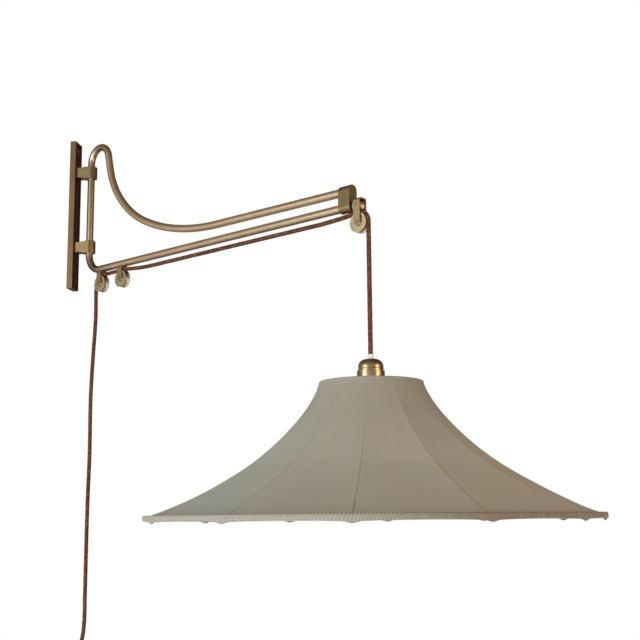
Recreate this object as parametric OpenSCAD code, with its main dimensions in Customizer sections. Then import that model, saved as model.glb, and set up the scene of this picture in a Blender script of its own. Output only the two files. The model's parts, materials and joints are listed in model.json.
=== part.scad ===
// Swing arm wall sconce: a bent brass tube arm pivots in two wall brackets, and a textile
// cord runs over grooved wheels to a lamp with a wide fabric shade that pulls up and down.
// Millimetres. Origin: centre of the wall plate's back face. +X leaves the wall, +Z is up.

/* [Wall plate] */
// Width of the plate, along the wall
plate_w = 30; // [24:1:60]
// Thickness of the plate
plate_t = 10.5; // [8:0.5:16]
// Height of the plate
plate_h = 260; // [210:5:340]
// Distance between the two wall screw holes
wall_hole_spacing = 230; // [170:5:320]
// Diameter of a wall screw hole
wall_hole_d = 5; // [4:0.5:7]
// Diameter of a wall screw's countersink
countersink_d = 10; // [8:0.5:14]
// Bevel along the plate's edges
plate_bevel = 0.7; // [0.3:0.1:1.5]

/* [Pivot brackets] */
// Distance from the wall to the pivot's axis
pivot_reach = 34; // [28:1:50]
// Width of a bracket, along the wall
bracket_w = 20; // [17:1:28]
// Height of a bracket at the tube
bracket_h = 20; // [14:1:26]
// Height of a bracket at the plate
bracket_neck_h = 17; // [13:1:26]
// Height of the upper bracket's centre above the origin
upper_bracket_z = 74.5; // [50:0.5:90]
// Height of the lower bracket's centre
lower_bracket_z = -57.5; // [-58:0.5:-30]
// Diameter of a bracket screw
bracket_screw_d = 4; // [3:0.5:5]
// Depth that a bracket screw reaches into its bracket
bracket_screw_grip = 7; // [5:0.5:10]

/* [Arm tube] */
// Outer diameter of the tube
tube_d = 12; // [10:0.5:14]
// Wall of the tube
tube_wall = 1; // [0.8:0.1:2]
// Angle of the arm from straight out of the wall, seen from above
arm_angle = -34; // [-60:1:60]
// Height of the straight lower run's axis
lower_run_z = -100; // [-115:1:-90]
// Bend from the lower run to the pivot
lower_bend_r = 30; // [20:1:31]
// Height at which the top loop starts
loop_start_z = 91.5; // [90:0.5:130]
// Bend radius of the top loop
loop_r = 24; // [20:1:34]
// Angle that the top loop turns through
loop_turn = 167; // [165:1:168]
// Straight length after the top loop
loop_exit_l = 26; // [20:1:32]
// Bend radii of the long sweep, from the loop outwards
sweep_radii = [135, 192, 367, 461];
// Angles of the long sweep's bends
sweep_turns = [24, 27.5, 12.5, 12.5];
// Height of the thrust collar that rests on the lower bracket
collar_h = 2; // [1.5:0.5:3]
// Diameter of the thrust collar
collar_d = 16; // [15:0.5:19]

/* [End block] */
// Distance from the pivot to the block's inner face
block_x = 577.6; // [480:0.2:700]
// Length of the block along the arm
block_l = 20; // [16:1:30]
// Brass around the tubes
block_wall = 2.2; // [1.8:0.1:3]
// Brass left in front of the tubes' ends
block_floor = 4; // [3:0.5:6]
// Depth of the slot that the fork's tab is brazed into
tab_slot_depth = 3.5; // [2:0.5:3.5]

/* [Cord wheels] */
// Radius of a wheel's rim
wheel_r = 14.1; // [13.5:0.1:16]
// Thickness of a wheel
wheel_t = 10; // [9:0.5:12]
// Radius at which the cord's centre lies on a wheel
cord_ride_r = 15; // [14.5:0.1:17]
// Distance from the pivot to the first wheel's axle
wheel_1_x = 37; // [34:1:50]
// Distance from the pivot to the second wheel's axle
wheel_2_x = 93; // [80:1:140]
// Distance from the end block's outer face to the end wheel's axle
end_wheel_reach = 12; // [11:0.5:16]
// Height of the end wheel's axle
end_wheel_z = -125.4; // [-140:0.2:-124]
// Radius of the guide roller's rim
roller_r = 7.4; // [7:0.1:9]
// Thickness of the guide roller
roller_t = 9.5; // [9:0.5:10]
// Radius at which the cord's centre passes the guide roller
roller_ride_r = 9.3; // [9:0.1:11]
// Distance from the end wheel's axle back to the roller's pin
roller_setback = 2.4; // [1:0.1:3]
// Diameter of the axles
axle_d = 4; // [3:0.5:5]
// Diameter of the roller's pin
roller_pin_d = 3; // [2:0.5:4]

/* [Straps] */
// Thickness of the strap metal
strap_t = 2; // [1.5:0.1:2.5]
// Width of a hanger strap under the tube
hanger_w = 10; // [8:0.5:13]
// Brass between the tube's underside and the cord
hanger_web = 1.3; // [1:0.1:2]
// Width of the end fork's legs
fork_w = 11; // [9:0.5:12]
// Radius of a strap's outer corners
strap_corner_r = 4; // [2.6:0.1:4]
// Thickness of an axle's riveted head
rivet_head_t = 1.2; // [0.8:0.1:2]
// Diameter of an axle's riveted head
rivet_head_d = 6.6; // [6:0.1:9]

/* [Cord] */
// Diameter of the textile cord
cord_d = 6.4; // [5:0.1:6.4]
// Turns in the tied coil of spare cord
coil_turns = 5; // [3:1:8]
// Radius of the coil at the middle of its turns
coil_r = 35; // [32:1:45]
// Width of the coil's tie
tie_w = 9; // [6:1:14]
// Thickness of the coil's tie
tie_t = 1.4; // [1:0.1:2]

/* [Plug] */
// Length of the plug's body
plug_l = 36; // [30:1:45]
// Width of the plug's body
plug_w = 26; // [25:1:34]
// Thickness of the plug's body
plug_t = 14; // [12:0.5:20]
// Distance between the plug's pins
pin_spacing = 18.6; // [18:0.1:19.2]
// Diameter of a plug pin
pin_d = 4; // [3.5:0.1:5]
// Length of a plug pin
pin_l = 19; // [15:0.5:19]

/* [Lampholder] */
// Height of the holder cap's top
cap_top_z = -313; // [-380:1:-240]
// Diameter of the cap
cap_d = 33.4; // [32:0.2:36]
// Height of the cap
cap_h = 15.7; // [14:0.1:20]
// Radius of the cap's domed shoulder
cap_dome_r = 10; // [7:0.1:12]
// Sheet thickness of the cap and shell
sheet_t = 1.2; // [0.8:0.1:1.5]
// Outer diameter of the cord grip
grip_d = 7.8; // [7.4:0.1:9]
// Height of the cord grip above the cap
grip_h = 6.6; // [4:0.1:12]
// Diameter of the shell's shoulder
shoulder_d = 36.6; // [36.4:0.2:40]
// Height of the shell's shoulder
shoulder_h = 8.3; // [5:0.1:12]
// Diameter of the shell's threaded body
shell_d = 34; // [33.6:0.2:35]
// Length of the shell's threaded body
shell_l = 40; // [36:1:44]
// Diameter of the ring nut
ring_nut_d = 43; // [40:0.5:50]
// Height of the ring nut
ring_nut_h = 7; // [5:0.5:10]
// Bore of the screw shell that takes the bulb
screw_shell_d = 27; // [26.8:0.1:27.4]
// Largest diameter of the bulb
bulb_d = 60; // [50:1:65]
// Length of the bulb, from its contact to its tip
bulb_l = 107; // [96:1:112]

/* [Shade] */
// Drop from the cap's top to the shade's upper rim
shade_drop = 31; // [29:0.5:38]
// Radius of the shade's upper rim
shade_top_r = 67; // [52:1:90]
// Slope of the shade at its upper rim, from vertical
shade_top_slope = 23; // [18:0.5:26]
// Radii of the arcs that flare the shade, from the top down
flare_radii = [168, 350, 980];
// Angles of those arcs
flare_turns = [17, 19.2, 7.2];
// Number of ribs
rib_count = 12; // [8:1:16]
// Thickness of the lined fabric
fabric_t = 0.8; // [0.6:0.1:1.2]
// How far the fabric draws in between two ribs, as a share of the radius
fabric_draw = 0.032; // [0:0.002:0.04]
// How far the hem rises between two ribs
hem_rise = 2; // [0:0.5:3]
// Diameter of the frame's wire
wire_d = 3; // [2:0.5:4]
// Height of the upper braid
top_trim_h = 8.5; // [6:0.5:12]
// Height of the lower braid
bottom_trim_h = 8; // [6:0.5:12]
// Thickness of both braids
trim_t = 1.6; // [1:0.1:2.5]

/* [Hidden] */
$fn = 64;

// Clearances
run_gap = 0.05;      // a pin that turns in its bore, on the radius
braze_gap = 0.05;    // a brazed or pressed joint, on the radius
side_gap = 0.5;      // beside a wheel
strap_inner_r = 1;   // a strap's inner corners, clear of a wheel's edge
cord_gap = 0.3;      // around the cord
soft_gap = 0.3;      // beside fabric

// Brass sizes that follow
tube_r = tube_d / 2;
cord_r = cord_d / 2;
axle_r = axle_d / 2;
wire_r = wire_d / 2;
block_end_x = block_x + block_l;
tube_end_x = block_end_x - block_floor;
block_r = tube_r + block_wall;
end_wheel_x = block_end_x + end_wheel_reach;
roller_x = end_wheel_x - roller_setback;
roller_z = end_wheel_z + cord_ride_r + roller_ride_r;
hanger_top_z = lower_run_z - tube_r + strap_t - hanger_web / 2;
wheel_z = lower_run_z - tube_r - hanger_web - cord_gap - cord_r - cord_ride_r;
cord_top_z = wheel_z + cord_ride_r;
strap_gap = wheel_t + 2 * side_gap;
strap_outer = strap_gap + 2 * strap_t;
fork_top_z = roller_z + roller_r + side_gap + strap_t;
drop_x = end_wheel_x + cord_ride_r;

// The arm's centre line in the arm's own plane: a bend is [radius, turn], left turns positive,
// and a straight is [0, length]. Each state is [x, z, heading].
upper_bends = concat([[loop_r, -loop_turn], [0, loop_exit_l]],
    [for (i = [0:len(sweep_radii) - 1]) [sweep_radii[i], sweep_turns[i]]]);
function left(s, r, turn) = [s[0] + r * (sin(s[2] + turn) - sin(s[2])),
    s[1] - r * (cos(s[2] + turn) - cos(s[2])), s[2] + turn];
function straight(s, l) = [s[0] + l * cos(s[2]), s[1] + l * sin(s[2]), s[2]];
function after(s, bend) = bend[0] == 0 ? straight(s, bend[1])
    : left(s, bend[1] > 0 ? bend[0] : -bend[0], bend[1]);
function walk(start, bends, n) = n == 0 ? start : after(walk(start, bends, n - 1), bends[n - 1]);
loop_start = [0, loop_start_z, 90];
sweep_end = walk(loop_start, upper_bends, len(upper_bends));
upper_run_l = (tube_end_x - sweep_end[0]) / cos(sweep_end[2]);
upper_end = straight(sweep_end, upper_run_l);
block_upper_z = sweep_end[1] + (block_x + block_l / 2 - sweep_end[0]) * tan(sweep_end[2]);

// The shade's meridian at a rib, from the upper rim down: points are [r, z, heading]
rim_start = [shade_top_r, cap_top_z - shade_drop, shade_top_slope - 90];
flare = [for (i = [0:len(flare_radii) - 1]) [flare_radii[i], flare_turns[i]]];
function flare_part(i, k) = left(walk(rim_start, flare, i), flare[i][0], flare[i][1] * k);
flare_steps = [4, 4, 3];
meridian = concat([rim_start], [for (i = [0:len(flare) - 1]) for (k = [1:flare_steps[i]])
    flare_part(i, k / flare_steps[i])]);
rim_end = meridian[len(meridian) - 1];
function inside(p, d) = [p[0] + d * sin(p[2]), p[1] - d * cos(p[2])];
wire_inset = fabric_t + soft_gap + wire_r;
top_ring_at = inside(flare_part(0, 0.05), wire_inset);
bottom_ring_at = inside(flare_part(2, 0.98), wire_inset);
shade_turn = 35.7;   // angle from the arm to the first rib

// Cord routes in the arm's plane frame: x along the arm, y to its left, z up
function around(x, z, r, from, to, n) = [for (i = [0:n])
    let (a = from + (to - from) * i / n) [x + r * cos(a), 0, z + r * sin(a)]];
wrap_steps = 6;
run_slack = [[110, 0, -111.4], [128, 0, -113.2], [150, 0, -114.6], [175, 0, -115],
    [205, 0, -115], [240, 0, -115], [275, 0, -115], [310, 0, -115], [345, 0, -115],
    [380, 0, -115], [415, 0, -115], [450, 0, -115], [480, 0, -115], [510, 0, -115],
    [535, 0, -115], [555, 0, -114.4], [572, 0, -113.6], [588, 0, -112.5], [600, 0, -111.4]];
run_route = concat(around(wheel_1_x, wheel_z, cord_ride_r, 180, 90, wrap_steps),
    [[55, 0, cord_top_z], [75, 0, cord_top_z], [wheel_2_x, 0, cord_top_z]], run_slack,
    around(end_wheel_x, end_wheel_z, cord_ride_r, 90, 0, wrap_steps));
lead_route = concat([[wheel_1_x - cord_ride_r, 0, wheel_z]],
    [[21.8, 0, -145], [22.5, 0, -165], [22.5, 0, -185], [21, 0, -210], [18.5, 0, -240],
    [16, 0, -275], [14.3, 0, -310], [14.2, 0, -345], [14.8, 0, -380], [15, 0, -415],
    [14, 0, -450], [13, 0, -485], [12.5, 0, -520], [12.3, 0, -560], [12.3, 0, -600],
    [12.3, 0, -640], [12, 0, -680], [9, -1, -705], [1, -5, -728], [-9, -9, -748],
    [-16.5, -12.5, -766], [-19.6, -14.5, -779]]);
coil_x = 15;
coil_z = -785;
coil_pitch = cord_d + 0.2;
coil_w = coil_turns * coil_pitch + cord_d;
tail_y = coil_turns * coil_pitch / 2;
tail_l = 14;         // cord between the coil and the plug
plug_x = coil_x - coil_r;
plug_top_z = coil_z - tail_l;
relief_l = 18;       // the plug's tapered strain relief

// A solid swept along points, with a flat ring square to the route at each one
function unit(v) = v / norm(v);
function heading_at(p, i) = unit(p[min(i + 1, len(p) - 1)] - p[max(i - 1, 0)]);
module swept(p, r, sides) {
    rings = [for (i = [0:len(p) - 1])
        let (t = heading_at(p, i), b = unit(cross(t, [0, 1, 0])), n = cross(b, t))
        for (k = [0:sides - 1]) p[i] + r * (cos(360 * k / sides) * n + sin(360 * k / sides) * b)];
    walls = [for (i = [0:len(p) - 2]) for (k = [0:sides - 1])
        let (a = i * sides + k, b = i * sides + (k + 1) % sides)
        each [[a, b, b + sides], [a, b + sides, a + sides]]];
    first = [for (k = [sides - 1:-1:0]) k];
    last = [for (k = [0:sides - 1]) (len(p) - 1) * sides + k];
    polyhedron(rings, concat(walls, [first, last]));
}

// Frames
module arm_frame() {
    translate([pivot_reach, 0, 0]) rotate([0, 0, arm_angle]) children();
}
module lamp_frame() {
    arm_frame() translate([drop_x, 0, cap_top_z]) children();
}
module shade_frame() {
    arm_frame() translate([drop_x, 0, 0]) rotate([0, 0, shade_turn]) children();
}
module along_y(h, r, h_gap = 0) {
    rotate([90, 0, 0]) cylinder(h = h + h_gap, r = r, center = true);
}

// Bent rods. Each piece starts a lap early, inside a bead that closes the joint.
lap = 0.2;
bead = 0.02;
module rod_piece(piece, r) {
    if (piece[0] == 0) rotate([0, 90, 0]) translate([0, 0, -lap])
        cylinder(h = piece[1] + lap, r = r, $fn = 40);
    else if (piece[1] < 0) mirror([0, 0, 1]) rod_piece([piece[0], -piece[1]], r);
    else translate([0, 0, piece[0]]) rotate([90, 0, 0])
        let (lap_angle = lap / piece[0] * 180 / PI) rotate([0, 0, -90 - lap_angle])
            rotate_extrude(angle = piece[1] + lap_angle)
                translate([piece[0], 0]) circle(r, $fn = 40);
}
module bent_rod(start, bends, r) {
    for (i = [0:len(bends) - 1]) let (s = walk(start, bends, i)) translate([s[0], 0, s[1]]) {
        rotate([0, -s[2], 0]) rod_piece(bends[i], r);
        if (i > 0) sphere(r + bead, $fn = 40);
    }
}

// Wall plate and brackets
module bevelled(size, c) {
    intersection() {
        linear_extrude(size[2], center = true) bevelled_outline(size[0], size[1], c);
        rotate([90, 0, 0]) linear_extrude(size[1], center = true)
            bevelled_outline(size[0], size[2], c);
        rotate([90, 0, 90]) linear_extrude(size[0], center = true)
            bevelled_outline(size[1], size[2], c);
    }
}
module bevelled_outline(w, h, c) {
    x = w / 2;
    y = h / 2;
    polygon([[c - x, -y], [x - c, -y], [x, c - y], [x, y - c], [x - c, y], [c - x, y],
        [-x, y - c], [-x, c - y]]);
}
module at_bracket_screws() {
    for (z = [upper_bracket_z, lower_bracket_z], y = [-bracket_w / 4, bracket_w / 4])
        translate([0, y, z]) rotate([0, 90, 0]) children();
}
module bracket_screw(gap) {
    head_r = bracket_screw_d + gap;
    cylinder(h = bracket_screw_d / 2, r1 = head_r, r2 = bracket_screw_d / 2 + gap);
    cylinder(h = plate_t + bracket_screw_grip + gap, r = bracket_screw_d / 2 + gap);
}
module wall_plate() {
    color("saddlebrown") difference() {
        translate([plate_t / 2, 0, 0]) bevelled([plate_t, plate_w, plate_h], plate_bevel);
        for (z = [-1, 1] * wall_hole_spacing / 2) translate([0, 0, z]) rotate([0, 90, 0]) {
            cylinder(h = 3 * plate_t, r = wall_hole_d / 2, center = true);
            sink_h = (countersink_d - wall_hole_d) / 2;
            translate([0, 0, plate_t - sink_h])
                cylinder(h = sink_h + 0.01, r1 = wall_hole_d / 2, r2 = countersink_d / 2 + 0.01);
        }
        at_bracket_screws() bracket_screw(braze_gap);
    }
}
module bracket_screws() {
    color("darkgoldenrod") at_bracket_screws() difference() {
        translate([0, 0, 0.2]) bracket_screw(0);
        cube([bracket_screw_d * 1.4, 0.8, 1.6], center = true);
    }
}
module bracket(z) {
    nose = bracket_w / 2;
    flare_x = pivot_reach - nose - 2;
    color("darkkhaki") difference() {
        intersection() {
            union() {
                translate([plate_t, -nose, z - bracket_h / 2])
                    cube([pivot_reach - plate_t, bracket_w, bracket_h]);
                translate([pivot_reach, 0, z])
                    cylinder(h = bracket_h, r = nose, center = true);
            }
            translate([0, 0, z]) rotate([90, 0, 0]) linear_extrude(2 * bracket_w, center = true)
                polygon([[plate_t, bracket_neck_h / 2], [flare_x - 4, bracket_neck_h / 2],
                    [flare_x + 4, bracket_h / 2], [pivot_reach + 2 * nose, bracket_h / 2],
                    [pivot_reach + 2 * nose, -bracket_h / 2], [flare_x + 4, -bracket_h / 2],
                    [flare_x - 4, -bracket_neck_h / 2], [plate_t, -bracket_neck_h / 2]]);
        }
        translate([pivot_reach, 0, z])
            cylinder(h = 2 * bracket_h, r = tube_r + run_gap, center = true);
        at_bracket_screws() bracket_screw(braze_gap);
    }
}
module upper_bracket() { bracket(upper_bracket_z); }
module lower_bracket() { bracket(lower_bracket_z); }

// Arm
module arm_tube() {
    pivot_l = loop_start_z - lower_run_z - lower_bend_r;
    function bends(extra) = concat([[0, tube_end_x - lower_bend_r + extra],
        [lower_bend_r, -90], [0, pivot_l]], upper_bends, [[0, upper_run_l + extra]]);
    color("tan") arm_frame() difference() {
        bent_rod([tube_end_x, lower_run_z, 180], bends(0), tube_r);
        bent_rod([tube_end_x + 1, lower_run_z, 180], bends(1), tube_r - tube_wall);
    }
}
module thrust_collar() {
    color("goldenrod") arm_frame() translate([0, 0, lower_bracket_z + bracket_h / 2 + 0.2])
        difference() {
            cylinder(h = collar_h, r = collar_d / 2);
            cylinder(h = 3 * collar_h, r = tube_r + braze_gap, center = true);
        }
}
module end_block() {
    color("darkkhaki") arm_frame() difference() {
        union() {
            for (z = [block_upper_z, lower_run_z]) translate([block_x, 0, z])
                rotate([0, 90, 0]) cylinder(h = block_l, r = block_r);
            translate([block_x, -block_r, lower_run_z])
                cube([block_l, 2 * block_r, block_upper_z - lower_run_z]);
        }
        translate([0, 0, lower_run_z]) rotate([0, 90, 0])
            cylinder(h = tube_end_x + braze_gap, r = tube_r + braze_gap);
        translate([sweep_end[0], 0, sweep_end[1]]) rotate([0, 90 - sweep_end[2], 0])
            cylinder(h = upper_run_l + braze_gap, r = tube_r + braze_gap);
        fork_tab(braze_gap);
    }
}

// Straps that hold the wheels
module strap_outline(top_z, axle_z, outer, corner_r) {
    h = top_z - axle_z + outer;
    translate([-outer / 2, top_z - h]) square([outer, h - corner_r]);
    translate([corner_r - outer / 2, top_z - h]) square([outer - 2 * corner_r, h]);
    for (y = [-1, 1] * (outer / 2 - corner_r)) translate([y, top_z - corner_r]) circle(corner_r);
}
module strap(x, top_z, axle_z, width) {
    intersection() {
        translate([x - width / 2, 0, 0]) rotate([90, 0, 90]) linear_extrude(width) difference() {
            strap_outline(top_z, axle_z, strap_outer, strap_corner_r);
            strap_outline(top_z - strap_t, axle_z - strap_t, strap_gap, strap_inner_r);
        }
        translate([x, 0, 0]) rotate([90, 0, 0]) linear_extrude(2 * strap_outer, center = true) {
            translate([-width / 2, axle_z]) square([width, top_z - axle_z]);
            translate([0, axle_z]) circle(width / 2);
        }
    }
}
module hanger(x) {
    color("darkkhaki") arm_frame() difference() {
        strap(x, hanger_top_z, wheel_z, hanger_w);
        translate([0, 0, lower_run_z]) rotate([0, 90, 0])
            cylinder(h = 2 * wheel_2_x, r = tube_r + braze_gap);
        translate([x, 0, cord_top_z]) cube([2 * hanger_w, strap_gap, cord_d + 2 * cord_gap],
            center = true);
        translate([x, 0, wheel_z]) along_y(2 * strap_outer, axle_r + braze_gap);
    }
}
module hanger_1() { hanger(wheel_1_x); }
module hanger_2() { hanger(wheel_2_x); }
module fork_tab(gap) {
    w = 6 + 2 * gap;
    translate([block_end_x - tab_slot_depth - gap, -w / 2, fork_top_z - strap_t - gap])
        cube([end_wheel_x - block_end_x + tab_slot_depth, w, strap_t + 2 * gap]);
}
module end_fork() {
    color("burlywood") arm_frame() difference() {
        union() {
            strap(end_wheel_x, fork_top_z, end_wheel_z, fork_w);
            fork_tab(0);
        }
        translate([end_wheel_x, 0, end_wheel_z]) along_y(2 * strap_outer, axle_r + braze_gap);
        translate([roller_x, 0, roller_z])
            along_y(2 * strap_outer, roller_pin_d / 2 + braze_gap);
    }
}
module riveted_pin(x, z, r, head_r) {
    color("goldenrod") arm_frame() translate([x, 0, z]) difference() {
        union() {
            along_y(strap_outer, r);
            for (side = [-1, 1]) translate([0, side * (strap_outer + rivet_head_t) / 2, 0])
                along_y(rivet_head_t, head_r);
        }
        for (side = [-1, 1]) translate([0, side * (strap_outer / 2 + rivet_head_t), 0])
            along_y(1.4, head_r / 2.6);
    }
}
module axle_1() { riveted_pin(wheel_1_x, wheel_z, axle_r, rivet_head_d / 2); }
module axle_2() { riveted_pin(wheel_2_x, wheel_z, axle_r, rivet_head_d / 2); }
module end_axle() { riveted_pin(end_wheel_x, end_wheel_z, axle_r, rivet_head_d / 2); }
module roller_pin() {
    riveted_pin(roller_x, roller_z, roller_pin_d / 2, roller_pin_d / 2 + 0.9);
}

// Wheels
module grooved_wheel(x, z, rim_r, t, bore_r, ride_r, recess, hub_wall) {
    rim_wall = 3;
    color("khaki") arm_frame() translate([x, 0, z]) rotate([90, 0, 0]) rotate_extrude()
        difference() {
            translate([bore_r, -t / 2]) square([rim_r - bore_r, t]);
            translate([ride_r, 0]) circle(cord_r + cord_gap);
            for (side = [-1, 1]) translate([bore_r + hub_wall, side * t / 2 - recess])
                square([rim_r - bore_r - hub_wall - rim_wall, 2 * recess]);
        }
}
module cord_wheel(x, z) {
    grooved_wheel(x, z, wheel_r, wheel_t, axle_r + run_gap, cord_ride_r, 0.9, 2.6);
}
module wheel_1() { cord_wheel(wheel_1_x, wheel_z); }
module wheel_2() { cord_wheel(wheel_2_x, wheel_z); }
module end_wheel() { cord_wheel(end_wheel_x, end_wheel_z); }
module guide_roller() {
    grooved_wheel(roller_x, roller_z, roller_r, roller_t, roller_pin_d / 2 + run_gap,
        roller_ride_r, 0.5, 1.6);
}

// Cord, its spare coil and the plug
module cord_run() { color("sienna") arm_frame() swept(run_route, cord_r, 10); }
module cord_lead() { color("sienna") arm_frame() swept(lead_route, cord_r, 10); }
module cord_coil() {
    color("sienna") arm_frame() translate([coil_x, 0, coil_z]) rotate([90, 0, 0]) {
        rotate_extrude() translate([coil_r - cord_r, -coil_w / 2]) square([cord_d, coil_w]);
        translate([-coil_r, -tail_l, -tail_y]) rotate([-90, 0, 0]) cylinder(h = tail_l, r = cord_r);
    }
}
module coil_tie() {
    hole = [tie_w * 2, coil_w + 2 * soft_gap, cord_d + 2 * soft_gap];
    color("black") arm_frame() translate([coil_x, 0, coil_z + coil_r - 0.2]) difference() {
        cube([tie_w, hole[1] + 2 * tie_t, hole[2] + 2 * tie_t], center = true);
        cube(hole, center = true);
    }
}
module plug_frame() {
    arm_frame() translate([plug_x, tail_y, plug_top_z]) children();
}
module plug_body() {
    corner = 4;
    color("saddlebrown") plug_frame() mirror([0, 0, 1]) difference() {
        union() {
            cylinder(h = relief_l, r1 = cord_r + 1.2, r2 = plug_t / 2 - 1);
            translate([0, 0, relief_l]) linear_extrude(plug_l) {
                square([plug_w - 2 * corner, plug_t], center = true);
                square([plug_w, plug_t - 2 * corner], center = true);
                for (x = [-1, 1] * (plug_w / 2 - corner), y = [-1, 1] * (plug_t / 2 - corner))
                    translate([x, y]) circle(corner);
            }
        }
        plug_pin_places() cylinder(h = pin_d, r = pin_d / 2 + braze_gap, center = true);
    }
}
module plug_pin_places() {
    for (x = [-1, 1] * pin_spacing / 2) translate([x, 0, relief_l + plug_l]) children();
}
module plug_pins() {
    color("silver") plug_frame() mirror([0, 0, 1]) plug_pin_places() {
        translate([0, 0, -pin_d / 2]) cylinder(h = pin_l, r = pin_d / 2);
        translate([0, 0, pin_l - pin_d / 2]) cylinder(h = 1, r1 = pin_d / 2, r2 = pin_d / 4);
    }
}
module cord_drop() {
    low = cap_top_z - sheet_t - 3;
    color("sienna") arm_frame()
        swept([[drop_x, 0, low], [drop_x, 0, end_wheel_z]], cord_r, 10);
}

// Lampholder, measured down from the cap's top
module turned(outline_below = 0) {
    lamp_frame() translate([0, 0, -outline_below]) rotate_extrude() children();
}
module domed(r, h, dome_r) {
    translate([0, -dome_r]) square([r - dome_r, dome_r]);
    intersection() {
        translate([r - dome_r, -dome_r]) circle(dome_r);
        translate([0, -dome_r - 1]) square([r, dome_r + 1]);
    }
    translate([0, -h]) square([r, h - dome_r]);
}
module right_half(size) {
    intersection() {
        translate([0, -size]) square([size, 2 * size]);
        children();
    }
}
module cord_grip() {
    color("white") turned() difference() {
        union() {
            translate([0, -sheet_t - 3]) square([grip_d / 2, grip_h + sheet_t + 3]);
            translate([0, -sheet_t - 3]) square([grip_d / 2 + 1.8, 2.6]);
        }
        translate([0, -20]) square([cord_r + 0.1, 60]);
    }
}
module holder_cap() {
    color("goldenrod") turned() right_half(2 * cap_d) difference() {
        domed(cap_d / 2, cap_h, cap_dome_r);
        translate([0, -sheet_t]) domed(cap_d / 2 - sheet_t, cap_h, cap_dome_r - sheet_t);
        translate([0, -2]) square([grip_d / 2 + braze_gap, 4]);
        translate([cap_d / 2, -cap_h + 3.2]) circle(0.45);
    }
}
module holder_shell() {
    thread_pitch = 2;
    color("goldenrod") turned(cap_h) difference() {
        union() {
            translate([0, -shoulder_h]) square([shoulder_d / 2, shoulder_h]);
            translate([0, -shoulder_h - shell_l]) square([shell_d / 2, shell_l]);
        }
        translate([0, -shoulder_h - shell_l - 1])
            square([shell_d / 2 - sheet_t, shoulder_h + shell_l - sheet_t + 1]);
        translate([0, -4]) square([cap_d / 2 - sheet_t - 1.5, 8]);
        for (i = [1:(shell_l - ring_nut_h) / thread_pitch - 2])
            translate([shell_d / 2, -shoulder_h - ring_nut_h - 4 - i * thread_pitch])
                circle(0.35, $fn = 16);
    }
}
module ring_nut() {
    nut_top = cap_h + shoulder_h + strap_t + 0.2;
    color("goldenrod") lamp_frame() translate([0, 0, -nut_top - ring_nut_h]) difference() {
        cylinder(h = ring_nut_h, r = ring_nut_d / 2);
        cylinder(h = 3 * ring_nut_h, r = shell_d / 2 + 0.1, center = true);
        for (a = [0:10:350]) rotate([0, 0, a]) translate([ring_nut_d / 2, 0, ring_nut_h / 2])
            cylinder(h = 2 * ring_nut_h, r = 0.7, center = true, $fn = 16);
    }
}
insert_r = shell_d / 2 - sheet_t - 0.2;
insert_top = cap_h + 2.4;
insert_h = 17;
shell_top = insert_top + insert_h;
screw_shell_h = 24;
contact_h = 2.4;
base_contact = shell_top + contact_h;
base_h = 25;
module holder_insert() {
    color("ivory") lamp_frame() difference() {
        translate([0, 0, -shell_top]) cylinder(h = insert_h, r = insert_r);
        for (y = [-1, 1] * 8) translate([0, y, -insert_top])
            cylinder(h = 12, r = 2.2, center = true);
        at_terminal_screws() cylinder(h = 14, r = 1.5 + braze_gap, center = true);
    }
}
module at_terminal_screws() {
    for (side = [-1, 1]) translate([side * (insert_r - 0.5), 0, -insert_top - 8])
        rotate([0, 90 * side, 0]) children();
}
module terminal_screws() {
    color("silver") lamp_frame() at_terminal_screws() translate([0, 0, -7])
        cylinder(h = 7, r = 1.5);
}
module screw_shell() {
    color("gold") lamp_frame() translate([0, 0, -shell_top - screw_shell_h]) difference() {
        cylinder(h = screw_shell_h, r = screw_shell_d / 2 + 0.6);
        cylinder(h = 3 * screw_shell_h, r = screw_shell_d / 2, center = true);
    }
}
module center_contact() {
    color("gold") lamp_frame() translate([0, 0, -base_contact + 0.1])
        cylinder(h = contact_h - 0.1, r1 = 3, r2 = 4);
}
module bulb_base() {
    base_r = screw_shell_d / 2 - 0.2;
    color("silver") lamp_frame() translate([0, 0, -base_contact]) mirror([0, 0, 1]) difference() {
        union() {
            cylinder(h = 1, r = 4);
            translate([0, 0, 1]) cylinder(h = 4, r1 = 5, r2 = base_r - 1);
            translate([0, 0, 5]) cylinder(h = base_h - 5, r = base_r - 0.4);
            for (i = [0:5]) translate([0, 0, 7 + i * 2.8]) cylinder(h = 1.4, r = base_r);
        }
        translate([0, 0, 7]) cylinder(h = base_h, r = base_r - 1);
    }
}
module bulb_glass() {
    wall = 0.8;
    neck_r = screw_shell_d / 2 - 1.6;
    ball_at = bulb_l - bulb_d / 2;
    color("white") lamp_frame() translate([0, 0, -base_contact]) mirror([0, 0, 1])
        rotate_extrude() difference() {
            right_half(200) bulb_outline(0, neck_r, ball_at);
            bulb_outline(wall, neck_r, ball_at);
            translate([-50, 0]) square([50, 200]);
        }
}
module bulb_outline(inset, neck_r, ball_at) {
    from = base_h - 5 + inset;
    shoulder = [bulb_d / 2 * cos(28), ball_at - bulb_d / 2 * sin(28)];
    translate([0, ball_at]) circle(bulb_d / 2 - inset);
    polygon([[0, from], [neck_r - inset, from], [neck_r - inset, base_h + 2],
        [shoulder[0] - inset, shoulder[1]], [0, ball_at]]);
}

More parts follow.
